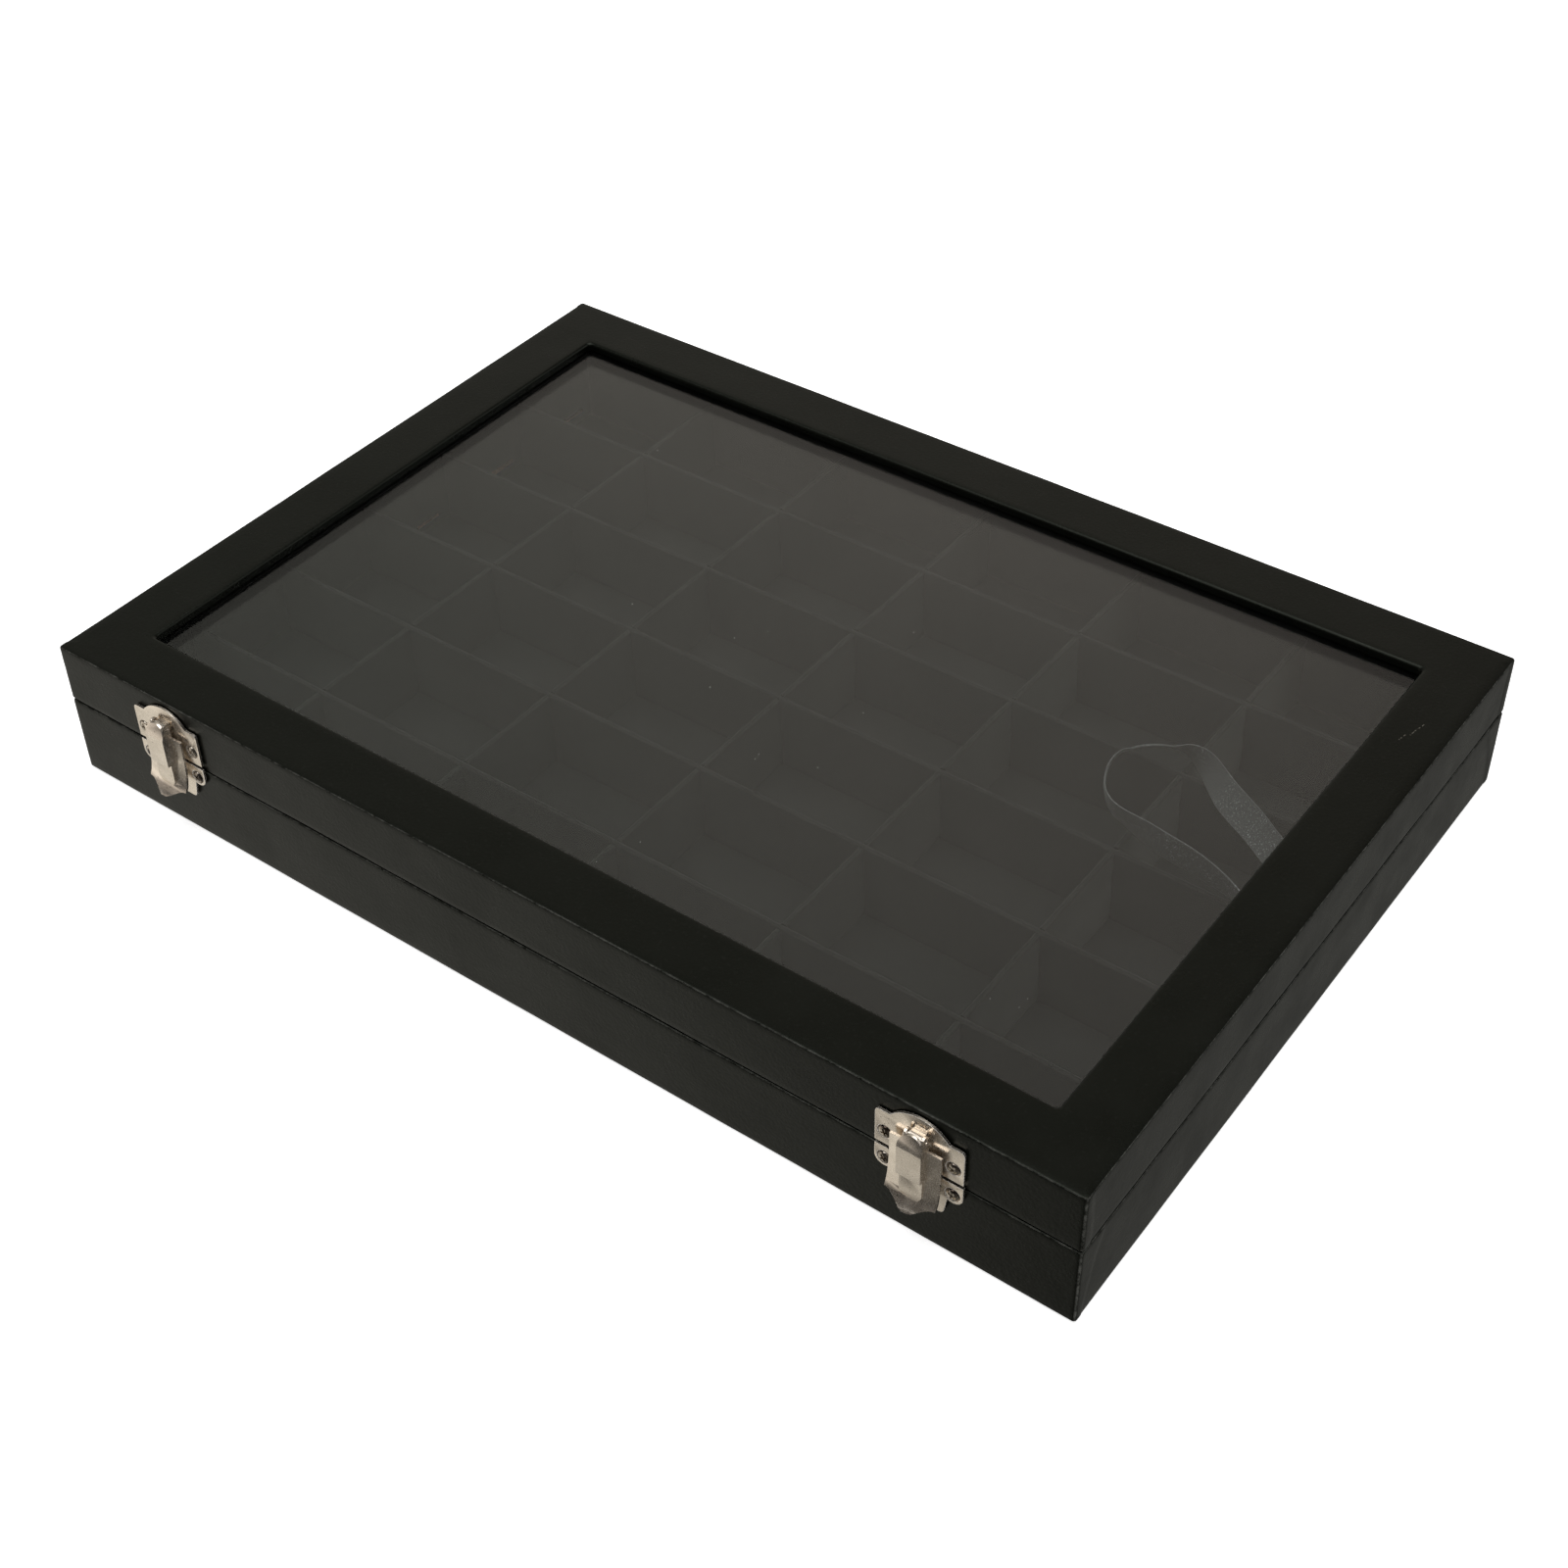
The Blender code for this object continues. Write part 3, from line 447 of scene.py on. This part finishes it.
def overlap(point, low, high, tuck_low, tuck_high):
    """1 where the front or back covering laps round a corner onto a side wall, within a slanting line."""
    if abs(point.x) < HALF_X - SIDE_ZONE or not low <= point.z <= high:
        return 0.0
    most_ragged = 0.5 * MM
    fade = 0.5 * MM
    rise = (point.z - low) / (high - low)
    reach = tuck_low + (tuck_high - tuck_low) * rise**1.6
    ragged = most_ragged * (waves(point, 7 * MM, 3 + (point.y > 0)) - 0.5)
    distance = HALF_Y - abs(point.y)
    return max(0.0, min(1.0, (reach + ragged - distance) / fade + 0.5))


def covering(name, outside, inside, body, replaces, tuck, seed):
    """A glued covering: a closed, slightly uneven skin, whose profiles are lists of (inset, height)."""
    bm = bmesh.new()
    edge = bm.verts.layers.float.new("edge")
    loops = []
    # Beyond this inset a point of the profile is at the window
    window_inset = BORDER - 3 * MM
    for i, (inset, height) in enumerate(outside + inside):
        radius = max(CORNER_RADIUS - inset, INNER_CORNER) if i < len(outside) else INNER_CORNER
        if inset > window_inset:
            radius = WINDOW_CORNER
        loops.append([bm.verts.new((x, y, height)) for x, y in case_loop(inset, radius)])
    for first, second in zip(loops, loops[1:] + loops[:1]):
        for i in range(len(first)):
            j = (i + 1) % len(first)
            bm.faces.new((first[i], first[j], second[j], second[i]))
    bmesh.ops.recalc_face_normals(bm, faces=bm.faces)
    bm.normal_update()
    heights = [height for _, height in outside]
    low, high = min(heights), max(heights)
    moves = []
    for loop in loops[: len(outside)]:
        for vert in loop:
            place = vert.co
            sink = SWELL * waves(place, SWELL_SIZE, seed) + RIPPLE * waves(place, RIPPLE_SIZE, seed + 1)
            if abs(place.x) > HALF_X - SIDE_ZONE:
                sink += LAP * (1 - overlap(place, low, high, *tuck))
            moves.append((vert, -vert.normal * sink))
    for vert, move in moves:
        vert.co += move
    # The attribute "edge" marks rounded edges and corner folds, where the leatherette paints rubbed wear and
    # a highlight
    near = 0.5 * EDGE_RADIUS
    for loop, (inset, height) in zip(loops, outside):
        rounded = inset < near and min(abs(height - low), abs(height - high)) < near
        for vert in loop:
            past_x = abs(vert.co.x) - HALF_X + CORNER_RADIUS
            past_y = abs(vert.co.y) - HALF_Y + CORNER_RADIUS
            folded = inset < EDGE_RADIUS and min(past_x, past_y) > 0.45 * CORNER_RADIUS
            vert[edge] = float(rounded or folded)
    finish_piece(name, bm, LEATHERETTE, body, 50, replaces)


def cuts(length, radius, step):
    """Places along one side of a board: close together at the rounded ends, and about step apart between."""
    count = max(1, round((length - 2 * radius) / step))
    middle = [radius + (length - 2 * radius) * i / count for i in range(count + 1)]
    return [0, 0.3 * radius] + middle + [length - 0.3 * radius, length]


def soft_board(low, high, radius, step, swell=0.0, seed=0):
    """A board with rounded edges and a fine mesh, whose faces swell moves in by up to that much."""
    low, high = Vector(low), Vector(high)
    steps = [cuts(high[k] - low[k], radius, step) for k in range(3)]
    counts = [len(s) - 1 for s in steps]
    bm = bmesh.new()
    verts = {}

    def vert(index):
        if index not in verts:
            p = Vector([low[k] + steps[k][index[k]] for k in range(3)])
            core = Vector([min(max(p[k], low[k] + radius), high[k] - radius) for k in range(3)])
            out = (p - core).normalized()
            p = core + out * radius
            if swell:
                p -= out * swell * waves(p, 12 * MM, seed)
            verts[index] = bm.verts.new(p)
        return verts[index]

    for axis in range(3):
        u, v = (axis + 1) % 3, (axis + 2) % 3
        for end in (0, counts[axis]):
            for i in range(counts[u]):
                for j in range(counts[v]):
                    corners = []
                    for du, dv in ((0, 0), (1, 0), (1, 1), (0, 1)):
                        index = [0, 0, 0]
                        index[axis], index[u], index[v] = end, i + du, j + dv
                        corners.append(vert(tuple(index)))
                    bm.faces.new(corners if end else corners[::-1])
    return bm


def boards(names, material, body, radius, step, swell=0.0):
    """Softened stand-ins for boards that are plain boxes in the frame."""
    for i, name in enumerate(names):
        bm = soft_board(*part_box(name), radius, step, swell, seed=11 * i + len(name))
        finish_piece(f"{name}_soft", bm, material, body, 50, (name,))


def divider(node_name, along, crossings, half_slot, slots_above):
    """A velvet divider along axis 0 or 1: a slotted board with rounded, slightly uneven top edges."""
    low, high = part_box(node_name)
    across = 1 - along
    step = 6 * MM
    gap = 0.15 * MM
    most_sag = 0.22 * MM
    most_bow = 0.12 * MM
    top = high.z - 0.01 * MM
    below_top = high.z - 0.4 * MM
    middle = (low.z + high.z) / 2
    centre = (low[across] + high[across]) / 2
    half = (high[across] - low[across]) / 2
    depth = middle - gap if slots_above else middle + gap
    cut_z = high.z if slots_above else low.z
    plain_z = low.z + high.z - cut_z
    cut = [(low[along], cut_z)]
    plain = run((low[along], plain_z), (high[along], plain_z), step)
    for place in crossings:
        start, end = place - half_slot, place + half_slot
        cut = joined(cut, run(cut[-1], (start, cut_z), step), [(start, depth), (end, depth), (end, cut_z)])
    cut = joined(cut, run(cut[-1], (high[along], cut_z), step))
    outline = cut + plain[::-1]
    bm = bmesh.new()
    ends = []
    for w in (-half, half):
        ring = []
        for u, z in outline:
            sag = most_sag * waves((u, centre, 0), 17 * MM, 5) if z > top else 0
            bow = most_bow * (waves((u, centre, z), 40 * MM, 9) - 0.5)
            point = [0, 0, z - sag]
            point[along], point[across] = u, centre + w + bow
            ring.append(bm.verts.new(point))
        ends.append(ring)
        bm.faces.new(ring)
    for i in range(len(outline)):
        j = (i + 1) % len(outline)
        bm.faces.new((ends[0][i], ends[0][j], ends[1][j], ends[1][i]))
    bmesh.ops.recalc_face_normals(bm, faces=bm.faces)
    tops = [
        edge
        for edge in bm.edges
        if all(vert.co.z > below_top for vert in edge.verts)
        and abs(edge.verts[0].co[across] - edge.verts[1].co[across]) < half
    ]
    rounding = {"offset": 0.5 * MM, "segments": 3, "profile": 0.5}
    bmesh.ops.bevel(bm, geom=tops, affect="EDGES", clamp_overlap=True, **rounding)
    finish_piece(f"{node_name}_soft", bm, VELVET, "base", 50, (node_name,))


def plated(node_name, body, width):
    """A nickel piece with the rounded edges of stamped sheet, in the given width, on which a pale second
    material paints a highlight.
    """
    flat_angle, sharp_angle = math.radians(0.5), math.radians(16)
    bm = bmesh.new()
    bm.from_mesh(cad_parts[node_name].data)
    bmesh.ops.remove_doubles(bm, verts=bm.verts, dist=0.002 * MM)
    bmesh.ops.recalc_face_normals(bm, faces=bm.faces)
    bmesh.ops.dissolve_limit(bm, angle_limit=flat_angle, verts=bm.verts, edges=bm.edges)
    sharp = [edge for edge in bm.edges if len(edge.link_faces) == 2 and edge.calc_face_angle(0) > sharp_angle]
    # The rounded strips take the second material, a pale one that paints a highlight on them
    rounding = {"offset": width, "segments": 2, "profile": 0.5, "material": 1}
    bmesh.ops.bevel(bm, geom=sharp, affect="EDGES", clamp_overlap=True, **rounding)
    flat = SCREW_NICKEL if "screw" in node_name else NICKEL
    plate = finish_piece(f"{node_name}_plated", bm, flat, body, 24, (node_name,))
    plate.data.materials.append(PAINTED_EDGE_HIGHLIGHT)


# The case's covering and boards

base_outside = joined(
    run((EDGE_RADIUS + UNDERSIDE_REACH, BASE_LOW.z), (EDGE_RADIUS, BASE_LOW.z), 2 * MM),
    arc((EDGE_RADIUS, BASE_LOW.z + EDGE_RADIUS), EDGE_RADIUS, 270, 180, 5),
    run((0, BASE_LOW.z + EDGE_RADIUS), (0, RIM - EDGE_RADIUS), 1.5 * MM),
    arc((EDGE_RADIUS, RIM - EDGE_RADIUS), EDGE_RADIUS, 180, 90, 5),
    run((EDGE_RADIUS, RIM), (WALL_INSET, RIM), 1.1 * MM),
)
base_inside = [
    (WALL_INSET, RIM - COVER),
    (COVER, RIM - COVER),
    (COVER, BASE_LOW.z + COVER),
    (EDGE_RADIUS + UNDERSIDE_REACH, BASE_LOW.z + COVER),
]
lid_outside = joined(
    run((WALL_INSET, LID_BOTTOM), (EDGE_RADIUS, LID_BOTTOM), 1.1 * MM),
    arc((EDGE_RADIUS, LID_BOTTOM + EDGE_RADIUS), EDGE_RADIUS, 270, 180, 5),
    run((0, LID_BOTTOM + EDGE_RADIUS), (0, LID_TOP - EDGE_RADIUS), 1.5 * MM),
    arc((EDGE_RADIUS, LID_TOP - EDGE_RADIUS), EDGE_RADIUS, 180, 90, 5),
    run((EDGE_RADIUS, LID_TOP), (BORDER - WINDOW_RADIUS, LID_TOP), 1.6 * MM),
    arc((BORDER - WINDOW_RADIUS, LID_TOP - WINDOW_RADIUS), WINDOW_RADIUS, 90, 0, 6),
    [(BORDER, PANE_TOP + PANE_GAP)],
)
lid_inside = [
    (BORDER - COVER, PANE_TOP + PANE_GAP),
    (BORDER - COVER, LID_TOP - COVER),
    (COVER, LID_TOP - COVER),
    (COVER, LID_BOTTOM + COVER),
    (WALL_INSET, LID_BOTTOM + COVER),
]
covering("base_covering", base_outside, base_inside, "base", ("base_leatherette",), BASE_TUCK, 1)
covering("lid_covering", lid_outside, lid_inside, "lid", ("lid_leatherette",), LID_TUCK, 2)

SIDES = ("front", "back", "left", "right")
LININGS = [f"lining_{side}" for side in SIDES]
GLASS_STRIPS = [f"glass_strip_{side}" for side in SIDES]
boards(["base_bottom_cover"], LEATHERETTE, "base", radius=0.28 * MM, step=6 * MM)
boards(["floor_velvet"], VELVET, "base", radius=0.4 * MM, step=5 * MM, swell=0.25 * MM)
boards(LININGS, VELVET, "base", radius=0.42 * MM, step=4 * MM, swell=0.12 * MM)
boards(GLASS_STRIPS, VELVET, "lid", radius=0.5 * MM, step=4 * MM, swell=0.12 * MM)

# Half-lapped dividers: those across the case run along Y and are slotted from above, the others from below
ACROSS = [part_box(f"divider_across_{i}") for i in range(1, 6)]
ALONG = [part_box(f"divider_along_{i}") for i in range(1, 6)]
ACROSS_X = [(low.x + high.x) / 2 for low, high in ACROSS]
ALONG_Y = [(low.y + high.y) / 2 for low, high in ALONG]
SLOT_PLAY = 0.3 * MM
HALF_SLOT = (ACROSS[0][1].x - ACROSS[0][0].x) / 2 + SLOT_PLAY
for i in range(1, 6):
    divider(f"divider_across_{i}", 1, ALONG_Y, HALF_SLOT, True)
for i in range(1, 6):
    divider(f"divider_along_{i}", 0, ACROSS_X, HALF_SLOT, False)

for name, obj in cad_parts.items():
    if "_wall_" in name or "lid_top" in name or name == "base_bottom_board":
        obj.data.materials.clear()
        obj.data.materials.append(BOARD)
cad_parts["glass_pane"].data.materials.clear()
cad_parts["glass_pane"].data.materials.append(GLASS)

# Thin reddish slivers that stand out at the foot of the left lining, in the three cells at the back

LINING_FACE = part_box("lining_left")[1].x
SLIVER_ROOT = 0.2 * MM
SLIVER_HEIGHT = 0.45 * MM
# The (y, z) of each one's near lower and far upper corner, in mm
SLIVERS = [((99.7, 9.2), (108.8, 10.3)), ((58.0, 8.4), (70.6, 9.8)), ((22.1, 8.0), (32.1, 8.7))]
for i, ((y_low, z_low), (y_high, z_high)) in enumerate(SLIVERS):
    corner = (LINING_FACE - SLIVER_ROOT, y_low * MM, z_low * MM)
    far_corner = (LINING_FACE + SLIVER_HEIGHT, y_high * MM, z_high * MM)
    bm = soft_board(corner, far_corner, radius=0.1 * MM, step=1.5 * MM, swell=0.1 * MM, seed=i)
    finish_piece(f"raw_card_sliver_{i + 1}", bm, REDDISH_STREAK, "base")

# Metal, and the width of its rounded edges

PLATE_EDGE = 0.2 * MM
FLAP_EDGE = 0.22 * MM
SMALL_EDGE = 0.06 * MM
HINGE_EDGE = 0.12 * MM

for side in ("left", "right"):
    plated(f"clasp_{side}_upper_plate", "lid", PLATE_EDGE)
    for piece in ("upper_screw_1", "upper_screw_2", "pin"):
        plated(f"clasp_{side}_{piece}", "lid", SMALL_EDGE)
    plated(f"clasp_{side}_lower_plate", "base", PLATE_EDGE)
    for piece in ("lower_screw_1", "lower_screw_2"):
        plated(f"clasp_{side}_{piece}", "base", SMALL_EDGE)
    plated(f"clasp_{side}_flap", f"flap_{side}", FLAP_EDGE)
    plated(f"hinge_{side}_base_leaf", "base", HINGE_EDGE)
    plated(f"hinge_{side}_lid_leaf", "lid", HINGE_EDGE)
    plated(f"hinge_{side}_pin", "base", HINGE_EDGE)


# The ribbon

RIBBON_WIDTH = 10 * MM
RIBBON_SHEET = 0.3 * MM
RIBBON_CUP = 0.25 * MM
RIBBON_WAVE = 0.5 * MM
# The middle of the ribbon in mm, from the base's side wall round the loop to the lid's, and the direction in
# which its width points: (0, 0, 1) stands it on edge.
RIBBON_ROUTE = [
    ((168.2, -6.0, 25.5), (0.0, 0.0, 1.0)),
    ((160.0, -5.5, 31.0), (0.05, -0.25, 1.0)),
    ((149.0, -1.0, 35.2), (0.10, -0.35, 1.0)),
    ((136.0, 2.6, 35.4), (0.12, -0.15, 1.0)),
    ((122.5, 4.6, 35.4), (0.25, -0.15, 1.0)),
    ((107.5, 8.8, 35.5), (0.35, -0.6, 1.0)),
    ((99.8, 17.5, 35.6), (0.35, -0.7, 0.75)),
    ((96.8, 29.0, 35.2), (0.35, -0.7, 0.68)),
    ((101.0, 37.5, 35.2), (0.35, -0.7, 0.68)),
    ((109.5, 42.3, 35.0), (0.36, -0.65, 0.75)),
    ((119.0, 40.2, 35.2), (0.40, -0.1, 1.0)),
    ((130.5, 31.5, 35.6), (0.30, 0.35, 1.0)),
    ((142.5, 24.5, 35.8), (0.30, 0.4, 1.0)),
    ((153.5, 17.5, 36.0), (0.15, 0.4, 1.0)),
    ((167.4, 13.0, 36.2), (0.0, 0.05, 1.0)),
]


def smooth_route(route, steps):
    """Catmull-Rom through the route's points, with that many steps between two: a list of (place, lean)."""
    places = [Vector(place) * MM for place, _ in route]
    leans = [Vector(lean) for _, lean in route]
    result = []
    for i in range(len(route) - 1):
        for k in range(steps + (i == len(route) - 2)):
            t = k / steps
            out = []
            for line in (places, leans):
                a, b, c, d = (line[min(max(i + n, 0), len(line) - 1)] for n in (-1, 0, 1, 2))
                bend = 2 * a - 5 * b + 4 * c - d
                twist = 3 * b - a - 3 * c + d
                out.append(0.5 * (2 * b + (c - a) * t + bend * t**2 + twist * t**3))
            result.append(out)
    return result


def make_ribbon():
    """The sheer sheet along the route, with its threads laid out flat in the UV map "cloth"."""
    line = smooth_route(RIBBON_ROUTE, 8)
    columns = 8
    bm = bmesh.new()
    uv = bm.loops.layers.uv.new("cloth")
    rings, run_length, last = [], 0.0, line[0][0]
    lengths = []
    for i, (place, lean) in enumerate(line):
        run_length += (place - last).length
        last = place
        lengths.append(run_length)
        ahead = (line[min(i + 1, len(line) - 1)][0] - line[max(i - 1, 0)][0]).normalized()
        up = (lean - ahead * lean.dot(ahead)).normalized()
        face = ahead.cross(up)
        sides = []
        for sign in (-1, 1):
            row = []
            for k in range(columns + 1):
                v = (k / columns - 0.5) * RIBBON_WIDTH
                cup = RIBBON_CUP * (2 * k / columns - 1) ** 2
                spot = place + up * v + face * (cup + sign * RIBBON_SHEET / 2)
                spot += face * RIBBON_WAVE * (waves((run_length, v, 0), 16 * MM, 4) - 0.5)
                row.append(spot)
            sides.append(row)
        rings.append([bm.verts.new(spot) for spot in sides[0] + sides[1][::-1]])
    widths = [k / columns for k in range(columns + 1)]
    widths = widths + widths[::-1]
    for i, (first, second) in enumerate(zip(rings, rings[1:])):
        for k in range(len(first)):
            n = (k + 1) % len(first)
            face = bm.faces.new((first[k], first[n], second[n], second[k]))
            spots = ((i, k), (i, n), (i + 1, n), (i + 1, k))
            for loop, (row, column) in zip(face.loops, spots):
                loop[uv].uv = (widths[column] * RIBBON_WIDTH, lengths[row])
    bm.faces.new(rings[0][::-1])
    bm.faces.new(rings[-1])
    ribbon = finish_piece("lid_stay_ribbon_satin", bm, SATIN, None, 60, ("lid_stay_ribbon",))
    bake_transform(ribbon)


make_ribbon()


# Floor, light and camera


def make_floor():
    """A pale floor just under the case. It glows a little and gloss doesn't see it."""
    dull_white = (0.93, 0.93, 0.93, 1)
    white = (0.96, 0.96, 0.96, 1)
    made, tree, shader, place = new_material("pale_floor", Roughness=0.9, Specular_IOR_Level=0.1)
    tone = noise_at(tree, place, 3, 2)
    color = mixed(tree, ranged(tree, tone, 0.3, 0.7), dull_white, white)
    tree.links.new(color, shader.inputs["Base Color"])
    shader.inputs["Emission Color"].default_value = (1, 1, 1, 1)
    shader.inputs["Emission Strength"].default_value = 0.75
    mesh = bpy.data.meshes.new("floor")
    reach, level = 4.0, -0.2 * MM
    corners = [(sx * reach, sy * reach, level) for sx, sy in ((-1, -1), (1, -1), (1, 1), (-1, 1))]
    mesh.from_pydata(corners, [], [(0, 1, 2, 3)])
    mesh.materials.append(made)
    floor = bpy.data.objects.new("floor", mesh)
    bpy.context.scene.collection.objects.link(floor)
    floor.visible_glossy = False


# Soft lights: the direction to each, the degrees within which it is full and beyond which it is gone, and its
# colour. DARK is the room between them, and BACKDROP the colour that the camera sees past the floor.
LIGHTS = [
    ((0.0, 0.0, 1.0), 12, 32, (3.4, 3.4, 3.4)),
    ((-0.62, 0.66, 0.42), 10, 46, (0.375, 0.37, 0.33)),
    ((-0.30, 0.80, 0.50), 6, 30, (0.17, 0.13, 0.12)),
    ((-0.74, -0.28, -0.61), 12, 42, (0.62, 0.60, 0.545)),
    ((-0.80, -0.60, -0.05), 10, 30, (0.55, 0.51, 0.47)),
    ((0.10, -0.45, -0.88), 15, 52, (0.06, 0.058, 0.05)),
    ((0.30, 0.66, -0.68), 15, 55, (0.19, 0.19, 0.175)),
    ((-0.36, -0.48, 0.80), 5, 17, (2.4, 2.4, 2.4)),
    ((0.60, 0.50, 0.45), 8, 24, (1.2, 1.2, 1.2)),
]
DARK = (0.045, 0.042, 0.039)
BACKDROP = (0.92, 0.92, 0.92, 1)

# The camera at the photograph's angle: metres, degrees, lens and sensor in mm, and shift in sensor widths
CAMERA_PLACE = (0.32609, -0.43226, 0.47980)
CAMERA_TURN = (49.598, 0.947, 36.365)
CAMERA_LENS = 54.73
CAMERA_SENSOR = 36
CAMERA_SHIFT = (0.005, -0.0375)


def added(tree, first, second):
    return node(tree, "ShaderNodeVectorMath", {0: first, 1: second}, operation="ADD").outputs[0]


def make_world():
    """A dark room with soft lights, all of them in the world's colour."""
    world = bpy.data.worlds.new("studio")
    bpy.context.scene.world = world
    world.use_nodes = True
    tree = world.node_tree
    direction = node(tree, "ShaderNodeTexCoord").outputs["Generated"]
    total = None
    for towards, full, gone, color in LIGHTS:
        inputs = {0: direction, 1: Vector(towards).normalized()}
        facing = node(tree, "ShaderNodeVectorMath", inputs, operation="DOT_PRODUCT").outputs["Value"]
        share = ranged(tree, facing, math.cos(math.radians(gone)), math.cos(math.radians(full)))
        glow = node(tree, "ShaderNodeVectorMath", {0: color, "Scale": share}, operation="SCALE").outputs[0]
        total = glow if total is None else added(tree, total, glow)
    total = added(tree, total, DARK)
    seen = node(tree, "ShaderNodeLightPath").outputs["Is Camera Ray"]
    color = mixed(tree, seen, total, BACKDROP)
    tree.links.new(color, tree.nodes["Background"].inputs["Color"])


def make_camera():
    data = bpy.data.cameras.new("camera")
    data.sensor_width = CAMERA_SENSOR
    data.lens = CAMERA_LENS
    data.shift_x, data.shift_y = CAMERA_SHIFT
    camera = bpy.data.objects.new("camera", data)
    bpy.context.scene.collection.objects.link(camera)
    camera.location = CAMERA_PLACE
    camera.rotation_euler = [math.radians(angle) for angle in CAMERA_TURN]
    bpy.context.scene.camera = camera


make_floor()
make_world()
make_camera()
bpy.context.scene.view_settings.view_transform = "Standard"
